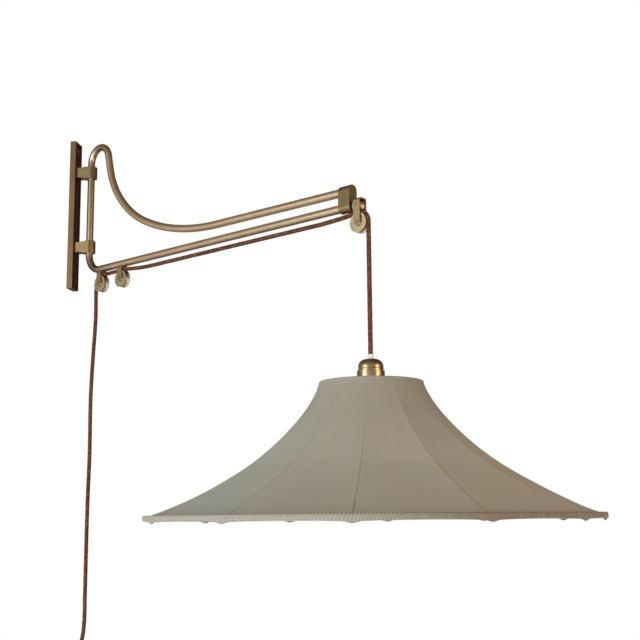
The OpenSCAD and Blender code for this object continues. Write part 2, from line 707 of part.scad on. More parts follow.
// Shade
module shade_spider() {
    fitter_z = cap_top_z - cap_h - shoulder_h - strap_t - 0.1;
    hub_r = shell_d / 2 + 6;
    tip = top_ring_at;
    fall = fitter_z + strap_t / 2 - tip[1];
    reach = tip[0] - hub_r;
    color("dimgray") shade_frame() {
        translate([0, 0, fitter_z]) difference() {
            cylinder(h = strap_t, r = hub_r);
            cylinder(h = 3 * strap_t, r = shell_d / 2 + 0.2, center = true);
        }
        for (a = [0, 120, 240]) rotate([0, 0, a])
            translate([hub_r - 1, 0, fitter_z + strap_t / 2])
                rotate([0, 90 + atan(fall / (reach + 1)), 0])
                    cylinder(h = norm([reach + 1, fall]), r = wire_r * 0.9);
    }
}
module ring_wire(at) {
    color("dimgray") shade_frame() rotate_extrude($fn = 96) translate([at[0], at[1]])
        circle(wire_r);
}
module frame_top_ring() { ring_wire(top_ring_at); }
module frame_bottom_ring() { ring_wire(bottom_ring_at); }
module frame_ribs() {
    wires = [for (i = [0:len(flare) - 1])
        [flare[i][0] + wire_inset, flare[i][1] * (i == 2 ? 0.96 : 1)]];
    first = inside(rim_start, wire_inset);
    color("dimgray") shade_frame() for (i = [0:rib_count - 1]) rotate([0, 0, i * 360 / rib_count])
        bent_rod([first[0], first[1], rim_start[2]], wires, wire_r);
}
module shade_fabric() {
    panel_steps = 4;
    around_n = rib_count * panel_steps;
    rows = len(meridian);
    function draw(i, k) = 1 - fabric_draw * sin(180 * i / (rows - 1))
        * sin(180 * (k % panel_steps) / panel_steps);
    function hem(i, k) = hem_rise * pow(i / (rows - 1), 6)
        * sin(180 * (k % panel_steps) / panel_steps);
    function skin(i, k, d) = let (p = meridian[i], q = inside(p, d), a = 360 * k / around_n,
        r = q[0] * draw(i, k)) [r * cos(a), r * sin(a), q[1] + hem(i, k)];
    points = [for (d = [0, fabric_t], i = [0:rows - 1], k = [0:around_n - 1]) skin(i, k, d)];
    inner = rows * around_n;
    function quad(a, b, c, d) = [[a, b, c], [a, c, d]];
    function at(layer, i, k) = layer * inner + i * around_n + k % around_n;
    faces = [for (k = [0:around_n - 1]) each concat(
        [for (i = [0:rows - 2]) each quad(at(0, i, k), at(0, i, k + 1), at(0, i + 1, k + 1),
            at(0, i + 1, k))],
        [for (i = [0:rows - 2]) each quad(at(1, i, k), at(1, i + 1, k), at(1, i + 1, k + 1),
            at(1, i, k + 1))],
        quad(at(0, 0, k), at(1, 0, k), at(1, 0, k + 1), at(0, 0, k + 1)),
        quad(at(0, rows - 1, k), at(0, rows - 1, k + 1), at(1, rows - 1, k + 1),
            at(1, rows - 1, k)))];
    color("lightgray") shade_frame() polyhedron(points, faces);
}
module braid(r, top_z, h, slope) {
    color("gainsboro") shade_frame() rotate_extrude($fn = 96)
        polygon([[r, top_z], [r + trim_t, top_z], [r + trim_t + h * slope, top_z - h],
            [r + h * slope, top_z - h]]);
}
module top_trim() {
    rise = 1;
    slope = tan(shade_top_slope + 3);
    braid(shade_top_r + 0.6 - rise * slope, rim_start[1] + rise, top_trim_h, slope);
}
module bottom_trim() {
    braid(rim_end[0] + soft_gap + 0.1, rim_end[1] + 4.5, bottom_trim_h, 0);
}

wall_plate();
upper_bracket();
lower_bracket();
bracket_screws();
arm_tube();
thrust_collar();
end_block();
hanger_1();
hanger_2();
axle_1();
axle_2();
end_fork();
end_axle();
roller_pin();
wheel_1();
wheel_2();
end_wheel();
guide_roller();
cord_run();
cord_lead();
cord_coil();
coil_tie();
plug_body();
plug_pins();
cord_drop();
cord_grip();
holder_cap();
holder_shell();
ring_nut();
holder_insert();
screw_shell();
center_contact();
terminal_screws();
bulb_base();
bulb_glass();
shade_spider();
frame_top_ring();
frame_bottom_ring();
frame_ribs();
shade_fabric();
top_trim();
bottom_trim();
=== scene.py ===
import json
import math

import bmesh
import bpy
from mathutils import Matrix, Vector


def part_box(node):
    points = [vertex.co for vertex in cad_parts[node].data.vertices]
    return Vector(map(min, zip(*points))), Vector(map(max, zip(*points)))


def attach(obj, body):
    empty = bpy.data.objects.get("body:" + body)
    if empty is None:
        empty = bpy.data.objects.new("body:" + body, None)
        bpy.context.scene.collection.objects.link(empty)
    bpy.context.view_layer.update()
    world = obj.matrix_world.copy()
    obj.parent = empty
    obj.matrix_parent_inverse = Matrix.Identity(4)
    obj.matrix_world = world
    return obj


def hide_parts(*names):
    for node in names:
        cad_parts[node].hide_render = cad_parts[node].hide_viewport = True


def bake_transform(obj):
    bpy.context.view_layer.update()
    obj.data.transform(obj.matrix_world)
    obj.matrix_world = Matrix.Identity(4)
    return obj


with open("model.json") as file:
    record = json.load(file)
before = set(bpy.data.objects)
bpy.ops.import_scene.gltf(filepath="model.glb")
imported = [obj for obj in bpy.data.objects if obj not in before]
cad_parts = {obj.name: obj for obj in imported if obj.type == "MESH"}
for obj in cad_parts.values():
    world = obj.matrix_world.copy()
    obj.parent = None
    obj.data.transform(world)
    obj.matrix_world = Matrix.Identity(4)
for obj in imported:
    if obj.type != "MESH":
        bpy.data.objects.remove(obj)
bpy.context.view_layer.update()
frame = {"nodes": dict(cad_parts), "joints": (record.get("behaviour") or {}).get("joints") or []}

# ---- Photographer's stand, lamps and backdrop -----------------------------------------------
# A pale paper floor far below the sconce, soft boxes at the left, the front and the right, and
# a camera a little below the arm that looks slightly up. The room is white to the camera alone.
view = bpy.data.cameras.new("view")
view.lens = 64.69
view.sensor_width = 36
view.clip_start = 0.05
view.clip_end = 60
camera = bpy.data.objects.new("camera", view)
bpy.context.scene.collection.objects.link(camera)
camera_yaw = math.radians(8.554)
camera_pitch = math.radians(90 + 9.847)
camera_roll = math.radians(-0.501)
camera.matrix_world = (
    Matrix.Translation((0.7092, -1.8405, -0.52))
    @ Matrix.Rotation(camera_yaw, 4, "Z")
    @ Matrix.Rotation(camera_pitch, 4, "X")
    @ Matrix.Rotation(camera_roll, 4, "Z")
)
bpy.context.scene.camera = camera
bpy.context.scene.view_settings.view_transform = "Standard"


def soft_box(name, place, target, size, power, colour):
    lamp = bpy.data.lights.new(name, "AREA")
    lamp.shape = "RECTANGLE"
    lamp.size = size[0]
    lamp.size_y = size[1]
    lamp.energy = power
    lamp.color = colour
    stand = bpy.data.objects.new(name, lamp)
    bpy.context.scene.collection.objects.link(stand)
    stand.location = place
    stand.rotation_mode = "QUATERNION"
    stand.rotation_quaternion = (Vector(target) - Vector(place)).to_track_quat("-Z", "Y")
    return stand


middle = (0.45, -0.3, -0.35)
soft_box("key_box", (-1.2, -2.0, -0.5), middle, (1.4, 1.6), 38, (0.96, 1.0, 0.99))
soft_box("front_box", (0.8, -2.6, -1.2), middle, (1.8, 1.0), 21, (1.0, 0.98, 0.95))
soft_box("warm_box", (2.5, -1.2, -0.3), middle, (1.0, 1.4), 26, (1.0, 0.9, 0.78))


class Tone:
    """A value that varies over a surface: one socket of a graph's nodes."""

    def __init__(self, graph, socket):
        self.graph = graph
        self.socket = socket

    def math(self, operation, *values):
        return self.graph.node("ShaderNodeMath", {"operation": operation}, values)

    def __add__(self, other):
        return self.math("ADD", self, other)

    def __radd__(self, other):
        return self.math("ADD", other, self)

    def __sub__(self, other):
        return self.math("SUBTRACT", self, other)

    def __rsub__(self, other):
        return self.math("SUBTRACT", other, self)

    def __mul__(self, other):
        return self.math("MULTIPLY", self, other)

    def __rmul__(self, other):
        return self.math("MULTIPLY", other, self)

    def __truediv__(self, other):
        return self.math("DIVIDE", self, other)

    def __rtruediv__(self, other):
        return self.math("DIVIDE", other, self)

    def __pow__(self, other):
        return self.math("POWER", self, other)

    def __abs__(self):
        return self.math("ABSOLUTE", self)

    def sine(self):
        return self.math("SINE", self)

    def within(self, low=0.0, high=1.0):
        return self.math("MINIMUM", self.math("MAXIMUM", self, low), high)

    def step(self, start, end):
        """0 below start, 1 past end, and smooth between them."""
        settings = {"interpolation_type": "SMOOTHSTEP"}
        return self.graph.node("ShaderNodeMapRange", settings, [self, start, end, 0.0, 1.0])


class Graph:
    """The shader nodes of one finish, or of the room's light."""

    def __init__(self, tree):
        self.nodes = tree.nodes
        self.links = tree.links

    def plug(self, socket, value):
        if isinstance(value, Tone):
            self.links.new(value.socket, socket)
        else:
            socket.default_value = value

    def node(self, kind, settings=None, values=(), output=0):
        """A node with its settings made first, then its inputs by order or by name."""
        made = self.nodes.new(kind)
        for name, setting in (settings or {}).items():
            setattr(made, name, setting)
        pairs = values.items() if isinstance(values, dict) else enumerate(values)
        for place, value in pairs:
            self.plug(made.inputs[place], value)
        return Tone(self, made.outputs[output])

    def axis(self, vector, name):
        return self.node("ShaderNodeSeparateXYZ", None, [vector], name)

    def dot(self, vector, other):
        return self.node("ShaderNodeVectorMath", {"operation": "DOT_PRODUCT"}, [vector, other], "Value")

    def tint(self, share, low, high):
        """The colour low where share is 0, and high where it is 1."""
        settings = {"data_type": "RGBA", "clamp_factor": True}
        low = low if isinstance(low, Tone) else (*low, 1)
        high = high if isinstance(high, Tone) else (*high, 1)
        return self.node("ShaderNodeMix", settings, {"Factor": share, 6: low, 7: high}, 2)


class Finish(Graph):
    """The finish of a piece, whose colour, roughness and relief vary over its surface."""

    def __init__(self, name):
        self.material = bpy.data.materials.new(name)
        self.material.use_nodes = True
        super().__init__(self.material.node_tree)
        self.shader = self.nodes["Principled BSDF"]

    def place(self):
        """Where a point is on the lamp, in metres."""
        return self.node("ShaderNodeTexCoord", output="Object")

    def stretched(self, vector, scale):
        return self.node("ShaderNodeVectorMath", {"operation": "MULTIPLY"}, [vector, scale])

    def clouds(self, vector, scale, detail=3.0, rough=0.55):
        """Soft random blotches from 0 to 1, so many to the metre."""
        values = {"Vector": vector, "Scale": scale, "Detail": detail, "Roughness": rough}
        return self.node("ShaderNodeTexNoise", None, values, "Fac")

    def relief(self, height, depth, normal=None):
        """A bump of that many metres from a height between 0 and 1."""
        values = {"Height": height, "Distance": depth, "Strength": 1.0}
        if normal is not None:
            values["Normal"] = normal
        return self.node("ShaderNodeBump", None, values)

    def softened(self, radius):
        """The surface's direction, with sharp edges rounded over that radius."""
        return self.node("ShaderNodeBevel", {"samples": 4}, {"Radius": radius})

    def edges(self, rounded):
        """1 along the sharp edges that the rounding turns, and 0 on the flats."""
        flat = self.node("ShaderNodeNewGeometry", output="True Normal")
        return (1.0 - self.dot(rounded, flat)) * 1.6

    def wear(self, values):
        for name, value in values.items():
            self.plug(self.shader.inputs[name], value)
        return self.material


def make_piece(name, shape, *finishes):
    """The finished mesh as a piece of the scene, with its finishes in order."""
    mesh = bpy.data.meshes.new(name)
    shape.to_mesh(mesh)
    shape.free()
    for finish in finishes:
        mesh.materials.append(finish)
    piece = bpy.data.objects.new(name, mesh)
    bpy.context.scene.collection.objects.link(piece)
    return piece


floor_paint = Finish("floor_paint")
floor_paint.wear({"Base Color": (0.86, 0.86, 0.85, 1), "Roughness": 0.8})
floor_disc = bmesh.new()
bmesh.ops.create_circle(floor_disc, cap_ends=True, radius=3.2, segments=96)
floor = make_piece("floor", floor_disc, floor_paint.material)
floor.location = (0.3, -0.2, -1.5)

room = bpy.data.worlds.new("room")
room.use_nodes = True
bpy.context.scene.world = room
glow = Graph(room.node_tree)
heading = glow.node("ShaderNodeTexCoord", output="Generated")
facing = glow.dot(heading, (-0.34, -0.54, -0.77))
dim_wall = glow.tint((facing + 1.0).within(), (0.12, 0.062, 0.036), (0.36, 0.29, 0.22))
lit_wall = glow.tint(facing.within(), dim_wall, (0.95, 0.93, 0.88))
panelling = ((glow.axis(heading, "X") - 0.35) / 0.45).within() * 0.95
panelled = glow.tint(panelling, lit_wall, (0.24, 0.12, 0.065))
seen = glow.node("ShaderNodeLightPath", output="Is Camera Ray")
glow.plug(glow.nodes["Background"].inputs["Color"], glow.tint(seen, panelled, (1, 1, 1)))

# ---- Wall plate ------------------------------------------------------------------------------
# A bar of brass 10.5 mm thick, milled and bevelled, with two countersunk wall holes.
# Its front is near black brown, a painted shade and dark reflection; the long edges are rubbed back to
# the metal.


def put_on(finish, *nodes):
    for name in nodes:
        node = frame["nodes"][name]
        node.data.materials.clear()
        node.data.materials.append(finish)
        for face in node.data.polygons:
            face.material_index = 0


def brass(name, dull, bright, worn, rough, edge_radius=0.0004, mottle=90.0, contrast=1.0, lacquer=0.0):
    """Brass: dull where the patina lies thick, bright where it is thin, worn on the edges.
    edge_radius is in metres, and mottle is how many blotches there are to the metre."""
    metal = Finish(name)
    where = metal.place()
    blotches = metal.clouds(where, mottle, 4.0, 0.6)
    specks = metal.clouds(where, mottle * 9, 2.0, 0.5)
    patina = ((blotches - 0.5) * 1.5 * contrast + (specks - 0.5) * 0.35 * contrast + 0.5).within()
    rounded = metal.softened(edge_radius)
    rubbed = (metal.edges(rounded) * (0.4 + blotches)).within()
    colour = metal.tint(rubbed, metal.tint(patina, dull, bright), worn)
    hairs = metal.clouds(metal.stretched(where, (1.0, 1.0, 0.12)), 2600.0, 2.0)
    grain = metal.relief(blotches * 0.4 + specks * 0.2 + hairs * 0.2, 0.00003, rounded)
    roughness = rough + (0.5 - patina) * 0.16 + (hairs - 0.5) * 0.12 - rubbed * 0.1
    return metal.wear(
        {
            "Base Color": colour,
            "Metallic": 1.0,
            "Roughness": roughness.within(0.12, 0.9),
            "Coat Weight": lacquer,
            "Coat Roughness": 0.22,
            "Normal": grain,
        }
    )


def plate_finish():
    """Brown patina on the sawn sides, and nearly black on the front face as painted shade and dark
    reflection.
    """
    metal = Finish("dark_brass")
    where = metal.place()
    blotches = metal.clouds(metal.stretched(where, (1.0, 1.0, 0.35)), 70.0, 4.0, 0.6)
    hairs = metal.clouds(metal.stretched(where, (1.0, 1.0, 0.06)), 1500.0, 2.0)
    patina = (blotches * 1.2 - 0.1 + (hairs - 0.5) * 0.3).within()
    # Past 9.4 mm from the wall the front face turns near black: painted shade and dark reflection.
    front = metal.axis(where, "X").step(0.0094, 0.0102)
    side = metal.tint(patina, (0.11, 0.068, 0.034), (0.22, 0.145, 0.076))
    dark = metal.tint(patina, (0.03, 0.018, 0.014), (0.085, 0.05, 0.036))
    rounded = metal.softened(0.0006)
    rubbed = (metal.edges(rounded) * (0.2 + blotches)).within(0.0, 0.6)
    return metal.wear(
        {
            "Base Color": metal.tint(rubbed, metal.tint(front, side, dark), (0.42, 0.30, 0.16)),
            "Metallic": 0.85,
            "Roughness": (0.46 + (0.5 - patina) * 0.14 + front * 0.06).within(0.2, 0.9),
            "Normal": metal.relief(blotches * 0.4 + hairs * 0.3, 0.00004, rounded),
        }
    )


put_on(plate_finish(), "wall_plate")

# ---- Pivot brackets and their screws ---------------------------------------------------------
# Two brass blocks, flared to the tube and rounded at the nose, screwed on from the plate's
# back. The arm's upright turns in their bores, and a thrust collar rests on the lower one.
aged_brass = brass(
    "aged_brass", (0.17, 0.125, 0.06), (0.32, 0.25, 0.13), (0.50, 0.42, 0.24), rough=0.4, contrast=0.8
)
put_on(aged_brass, "upper_bracket", "lower_bracket", "bracket_screws", "thrust_collar")

# ---- Arm tube --------------------------------------------------------------------------------
# One brass tube of 12 mm, bent from the straight lower run, up through the brackets, over the
# top loop and out in the long sweep. It is brushed along its length, and duller by the plate.


def arm_tube_finish():
    metal = Finish("tube_brass")
    where = metal.place()
    blotches = metal.clouds(where, 26.0, 4.0, 0.6)
    specks = metal.clouds(where, 420.0, 3.0, 0.6)
    hairs = metal.clouds(metal.stretched(where, (0.25, 0.25, 1.0)), 3000.0, 2.0)
    patina = (blotches * 1.5 - 0.25 + (specks - 0.5) * 0.35).within()
    bright = metal.tint(patina, (0.53, 0.41, 0.265), (0.82, 0.70, 0.52))
    dull = metal.tint(patina, (0.31, 0.24, 0.16), (0.50, 0.41, 0.30))
    colour = metal.tint(metal.axis(where, "X").step(0.045, 0.10), dull, bright)
    pits = specks.step(0.66, 0.74)
    spotted = metal.tint(pits * 0.5, colour, (0.22, 0.15, 0.08))
    grain = metal.relief(hairs * 0.6 + specks * 0.4, 0.00004)
    roughness = (0.33 + (0.5 - patina) * 0.14 + (hairs - 0.5) * 0.1).within(0.15, 0.8)
    return metal.wear({"Base Color": spotted, "Metallic": 1.0, "Roughness": roughness, "Normal": grain})


put_on(arm_tube_finish(), "arm_tube")

# ---- End block, hangers and fork -------------------------------------------------------------
# The block is sawn brass bored for both tube ends. The hangers are bent strap brazed under the
# lower run, and the fork is strap brazed into the block. Each holds a wheel on a riveted pin.
strap_brass = brass(
    "strap_brass",
    (0.34, 0.26, 0.15),
    (0.52, 0.42, 0.27),
    (0.66, 0.56, 0.38),
    rough=0.36,
    mottle=140.0,
    contrast=0.7,
)
put_on(aged_brass, "end_block")
put_on(strap_brass, "hanger_1", "hanger_2", "end_fork")
pin_brass = brass(
    "pin_brass",
    (0.28, 0.20, 0.11),
    (0.50, 0.41, 0.25),
    (0.70, 0.60, 0.42),
    rough=0.34,
    edge_radius=0.0003,
    mottle=260.0,
    contrast=0.8,
)
put_on(pin_brass, "axle_1", "axle_2", "end_axle", "roller_pin")

# ---- Cord wheels and guide roller ------------------------------------------------------------
# Three turned brass wheels with a deep groove for the cord, and a smaller roller that keeps
# the cord on the end wheel. The faces are recessed, and the rims are bright from turning.
wheel_brass = brass(
    "wheel_brass",
    (0.44, 0.37, 0.25),
    (0.60, 0.53, 0.38),
    (0.70, 0.62, 0.46),
    rough=0.44,
    mottle=120.0,
    contrast=0.6,
)
put_on(wheel_brass, "wheel_1", "wheel_2", "end_wheel", "guide_roller")

# ---- Textile cord ----------------------------------------------------------------------------
# A 6.4 mm mains cord in a reddish brown braid with paler flecks. It climbs from the lead, over
# the first two wheels, along under the tube, over the end wheel and down into the lampholder.
swing = next(joint for joint in frame["joints"] if joint["name"] == "arm_swing")
pivot = Vector(swing["pos_m"])
arm_angle = math.radians(-34)
along = Vector((math.cos(arm_angle), math.sin(arm_angle), 0))
leftward = Vector((-math.sin(arm_angle), math.cos(arm_angle), 0))


def on_arm(x, y, z):
    """A point from millimetres along the arm, to its left and up, to the lamp's own frame."""
    return pivot + along * x / 1000 + leftward * y / 1000 + Vector((0, 0, z / 1000))


def over_wheel(x, z, radius, start, end, steps):
    points = []
    for i in range(steps + 1):
        turn = math.radians(start + (end - start) * i / steps)
        points.append((x + radius * math.cos(turn), 0, z + radius * math.sin(turn)))
    return points


def smooth_line(points, spacing):
    """Evenly spaced points on a smooth curve through the given ones."""
    ends = [points[0] * 2 - points[1], *points, points[-1] * 2 - points[-2]]
    line = []
    for a, b, c, d in zip(ends, ends[1:], ends[2:], ends[3:], strict=False):
        steps = max(1, math.ceil((c - b).length / spacing))
        t1 = max((b - a).length, 1e-9) ** 0.5
        t2 = max((c - b).length, 1e-9) ** 0.5
        t3 = max((d - c).length, 1e-9) ** 0.5
        m1 = (c - b) + t2 * ((b - a) / t1 - (c - a) / (t1 + t2))
        m2 = (c - b) + t2 * ((d - c) / t3 - (d - b) / (t2 + t3))
        for i in range(steps):
            t = i / steps
            line.append(
                b * (2 * t**3 - 3 * t**2 + 1)
                + m1 * (t**3 - 2 * t**2 + t)
                + c * (3 * t**2 - 2 * t**3)
                + m2 * (t**3 - t**2)
            )
    line.append(points[-1].copy())
    return line


def line_length(line):
    return sum((b - a).length for a, b in zip(line, line[1:], strict=False))


def tube(name, line, radius, sides, finish):
    """A round tube along a line. Its map runs along it in metres, and once round it."""
    shape = bmesh.new()
    maps = shape.loops.layers.uv.new("wrap")
    normal = leftward.copy()
    rings = []
    run = [0.0]
    for i, point in enumerate(line):
        heading = (line[min(i + 1, len(line) - 1)] - line[max(i - 1, 0)]).normalized()
        normal = (normal - heading * normal.dot(heading)).normalized()
        across = heading.cross(normal)
        ring = []
        for k in range(sides):
            turn = 2 * math.pi * k / sides
            outward = math.cos(turn) * normal + math.sin(turn) * across
            ring.append(shape.verts.new(point + radius * outward))
        rings.append(ring)
        if i:
            run.append(run[-1] + (point - line[i - 1]).length)
    for i in range(len(rings) - 1):
        for k in range(sides):
            after = (k + 1) % sides
            face = shape.faces.new((rings[i][k], rings[i][after], rings[i + 1][after], rings[i + 1][k]))
            face.smooth = True
            spots = ((run[i], k), (run[i], k + 1), (run[i + 1], k + 1), (run[i + 1], k))
            for corner, (u, v) in zip(face.loops, spots, strict=True):
                corner[maps].uv = (u, v / sides)
    shape.faces.new(reversed(rings[0]))
    shape.faces.new(rings[-1])
    bmesh.ops.recalc_face_normals(shape, faces=shape.faces)
    return make_piece(name, shape, finish)


def braided_sleeve():
    """Six strands wound each way in a plait, with some picks paler and some darker, and painted shade in
    the gaps between strands.
    """
    cloth = Finish("textile_cord")
    wrap = cloth.node("ShaderNodeUVMap", {"uv_map": "wrap"})
    length = cloth.axis(wrap, "X")
    turn = cloth.axis(wrap, "Y")
    strands = 6
    pitch = 0.0034
    right = length / pitch + turn * strands
    left = length / pitch - turn * strands
    over = abs((right * math.pi).sine() * (left * math.pi).sine())
    crossing = [right.math("FLOOR", right), left.math("FLOOR", left), 0.0]
    picks = cloth.node("ShaderNodeCombineXYZ", None, crossing)
    lots = cloth.node("ShaderNodeTexWhiteNoise", {"noise_dimensions": "3D"}, {"Vector": picks}, "Value")
    fuzz = cloth.clouds(cloth.place(), 1500.0, 2.0)
    soil = cloth.clouds(cloth.place(), 30.0, 3.0)
    brown = cloth.tint(soil, (0.105, 0.034, 0.017), (0.17, 0.06, 0.031))
    # Darker where the strands dip under each other: painted shade in the gaps of the plait.
    strand_painted_shade = cloth.tint((over * 1.3 + 0.1 * fuzz).within(), (0.075, 0.03, 0.018), brown)
    flecked = cloth.tint(lots.step(0.72, 0.78) * over * 0.55, strand_painted_shade, (0.38, 0.21, 0.12))
    dark = cloth.tint(lots.step(0.26, 0.2) * 0.65, flecked, (0.05, 0.02, 0.013))
    return cloth.wear(
        {
            "Base Color": dark,
            "Roughness": 0.78 + 0.2 * fuzz,
            "Specular IOR Level": 0.2,
            "Normal": cloth.relief(over * 0.8 + fuzz * 0.2, 0.00045),
        }
    )


cord_d = 0.0064
cord_sides = 20
cord_step = 0.0022
cord_braid = braided_sleeve()
ride_r = 15
wheel_x = 37
wheel_z = -125.8
end_wheel_x = 609.6
end_wheel_z = -125.4
sag_z = -115
run_points = over_wheel(wheel_x, wheel_z, ride_r, 180, 90, 6)
run_points += [(x, 0, wheel_z + ride_r) for x in (55, 75, 93)]
run_points += [(110, 0, -111.4), (128, 0, -113.2), (150, 0, -114.6)]
run_points += [(x, 0, sag_z) for x in (175, 205, 240, 275, 310, 345, 380, 415, 450, 480, 510, 535)]
run_points += [(555, 0, -114.4), (572, 0, -113.6), (588, 0, -112.5), (600, 0, -111.4)]
run_points += over_wheel(end_wheel_x, end_wheel_z, ride_r, 90, 0, 6)
run_line = smooth_line([on_arm(*point) for point in run_points], cord_step)
cord_run = tube("cord_on_the_arm", run_line, cord_d / 2, cord_sides, cord_braid)
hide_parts("cord_run")
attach(cord_run, "arm")
line_length(run_line)

drop_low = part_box("cord_drop")[0].z
drop_x = end_wheel_x + ride_r
drop_points = [(drop_x, 0, end_wheel_z), (drop_x, 0, -220), (drop_x, 0, drop_low * 1000)]
drop_line = smooth_line([on_arm(*point) for point in drop_points], cord_step)
cord_drop = tube("cord_to_the_lamp", drop_line, cord_d / 2, cord_sides, cord_braid)
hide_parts("cord_drop")
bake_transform(cord_drop)
line_length(drop_line)

# ---- Plug ------------------------------------------------------------------------------------
# A dark brown moulded plug with ribs on its cord relief and two round nickel pins. It hangs
# on the end of the lead, under the coil of spare cord.
dark_moulding = Finish("plug_moulding")
moulding_grain = dark_moulding.clouds(dark_moulding.place(), 900.0, 3.0)
moulding_soil = dark_moulding.clouds(dark_moulding.place(), 60.0, 3.0)
dark_moulding.wear(
    {
        "Base Color": dark_moulding.tint(moulding_soil, (0.016, 0.009, 0.006), (0.036, 0.019, 0.012)),
        "Roughness": 0.3 + 0.25 * moulding_grain,
        "Normal": dark_moulding.relief(moulding_grain, 0.00005),
    }
)
plug_at = (-20, 16.5)
plug_top = -799


def rounded_ring(width, thick, corner, steps=5):
    """Points round a rectangle with rounded corners, in millimetres."""
    points = []
    for side_x, side_y, start in ((1, 1, 0), (-1, 1, 90), (-1, -1, 180), (1, -1, 270)):
        for i in range(steps + 1):
            turn = math.radians(start + 90 * i / steps)
            x = side_x * (width / 2 - corner) + corner * math.cos(turn)
            points.append((x, side_y * (thick / 2 - corner) + corner * math.sin(turn)))
    return points


def plug():
    stations = [(-0.0, 8.8, 8.8, 4.39)]
    for rib in range(5):
        top = 1.5 + rib * 3.2
        wide = 9.0 + rib * 0.75
        stations.append((top, wide, wide, wide / 2 - 0.01))
        stations.append((top + 1.5, wide + 0.3, wide + 0.3, wide / 2 + 0.1))
        stations.append((top + 1.9, wide - 1.2, wide - 1.2, wide / 2 - 0.65))
        stations.append((top + 2.8, wide - 1.0, wide - 1.0, wide / 2 - 0.55))
    stations += [(18.0, 13.0, 12.2, 5.2), (19.5, 19.0, 13.2, 5.0), (21.5, 23.5, 13.7, 4.6)]
    stations += [(24.0, 25.4, 13.9, 4.2), (30.0, 25.9, 14.0, 4.0), (36.0, 25.2, 13.4, 4.0)]
    stations += [(42.0, 24.8, 13.2, 4.0), (48.0, 25.8, 13.9, 4.0)]
    stations += [(52.0, 26.0, 14.0, 4.0), (53.4, 25.6, 13.6, 3.8), (54.0, 24.4, 12.4, 3.4)]
    shape = bmesh.new()
    rings = []
    for down, width, thick, corner in stations:
        outline = rounded_ring(width, thick, corner)
        rings.append(
            [shape.verts.new(on_arm(plug_at[0] + x, plug_at[1] + y, plug_top - down)) for x, y in outline]
        )
    for upper, lower in zip(rings, rings[1:], strict=False):
        for k in range(len(upper)):
            after = (k + 1) % len(upper)
            shape.faces.new((upper[k], upper[after], lower[after], lower[k])).smooth = True
    shape.faces.new(rings[0])
    shape.faces.new(reversed(rings[-1]))
    bmesh.ops.recalc_face_normals(shape, faces=shape.faces)
    return make_piece("moulded_plug", shape, dark_moulding.material)


moulded_plug = plug()
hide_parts("plug_body")
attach(moulded_plug, "arm")
nickel = brass(
    "nickel",
    (0.46, 0.45, 0.42),
    (0.66, 0.65, 0.62),
    (0.8, 0.79, 0.76),
    rough=0.3,
    edge_radius=0.0003,
    mottle=200.0,
    contrast=0.6,
)
put_on(nickel, "plug_pins", "terminal_screws", "bulb_base")

# ---- Coil tie --------------------------------------------------------------------------------
# A black rubber band, 9 mm wide, drawn round the five turns of spare cord at the coil's top.
rubber = Finish("tie_rubber")
rubber_place = rubber.place()
rubber_ribs = (rubber.axis(rubber_place, "Z") * 2 * math.pi / 0.0012).sine() * 0.5 + 0.5
rubber_dust = rubber.clouds(rubber_place, 260.0, 4.0)
rubber.wear(
    {
        "Base Color": rubber.tint(rubber_dust, (0.012, 0.012, 0.012), (0.04, 0.038, 0.036)),
        "Roughness": 0.55 + 0.3 * rubber_dust,
        "Normal": rubber.relief(rubber_ribs * 0.6 + rubber_dust * 0.4, 0.00012, rubber.softened(0.0006)),
    }
)
put_on(rubber.material, "coil_tie")

# ---- Hanging lead and its coil ---------------------------------------------------------------
# The same cord from the first wheel down the wall: 1.8 m to the plug, with the spare wound in
# five turns about 76 mm across and tied.
lead_points = [(wheel_x - ride_r, 0, wheel_z), (21.8, 0, -145), (22.5, 0, -165), (22.5, 0, -185)]
lead_points += [(21, 0, -210), (18.5, 0, -240), (16, 0, -275), (14.3, 0, -310), (14.2, 0, -345)]
lead_points += [(14.8, 0, -380), (15, 0, -415), (14, 0, -450), (13, 0, -485), (12.5, 0, -520)]
lead_points += [(12.3, 0, -560), (12.3, 0, -600), (12.3, 0, -640), (12, 0, -680)]
lead_points += [(9, -1, -705), (1, -5, -728), (-9, -9, -748), (-16.5, -12.5, -766)]
coil_turns = 5
coil_r = 35
coil_wide = 33
coil_x = 15
coil_z = -785
coil_steps = 24
for i in range(coil_turns * coil_steps + 1):
    turn = math.radians(180 + 360 * i / coil_steps)
    side = coil_wide * (i / (coil_turns * coil_steps) - 0.5)
    lead_points.append((coil_x + coil_r * math.cos(turn), side, coil_z + coil_r * math.sin(turn)))
lead_points.append((plug_at[0], plug_at[1], plug_top - 5))
lead_line = smooth_line([on_arm(*point) for point in lead_points], 0.0026)
cord_lead = tube("lead", lead_line, cord_d / 2, cord_sides, cord_braid)
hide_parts("cord_lead", "cord_coil")
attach(cord_lead, "arm")

# ---- Lampholder ------------------------------------------------------------------------------
# A spun brass cap with a domed shoulder screws on a threaded brass shell, with a white cord
# grip at the top. Inside are a glazed ceramic insert, a brass screw shell and its contact.
holder_brass = brass(
    "holder_brass",
    (0.19, 0.115, 0.045),
    (0.42, 0.34, 0.19),
    (0.66, 0.55, 0.34),
    rough=0.36,
    edge_radius=0.0005,
    mottle=110.0,
    contrast=1.2,
    lacquer=0.7,
)
put_on(holder_brass, "holder_cap", "holder_shell", "ring_nut", "screw_shell", "center_contact")

grip_plastic = Finish("white_plastic")
grip_marks = grip_plastic.clouds(grip_plastic.place(), 500.0, 4.0)
grip_plastic.wear(
    {
        "Base Color": grip_plastic.tint(grip_marks, (0.66, 0.65, 0.62), (0.82, 0.82, 0.80)),
        "Roughness": 0.35 + 0.3 * grip_marks,
        "Subsurface Weight": 0.1,
        "Normal": grip_plastic.relief(grip_marks, 0.00004, grip_plastic.softened(0.0004)),
    }
)
put_on(grip_plastic.material, "cord_grip")

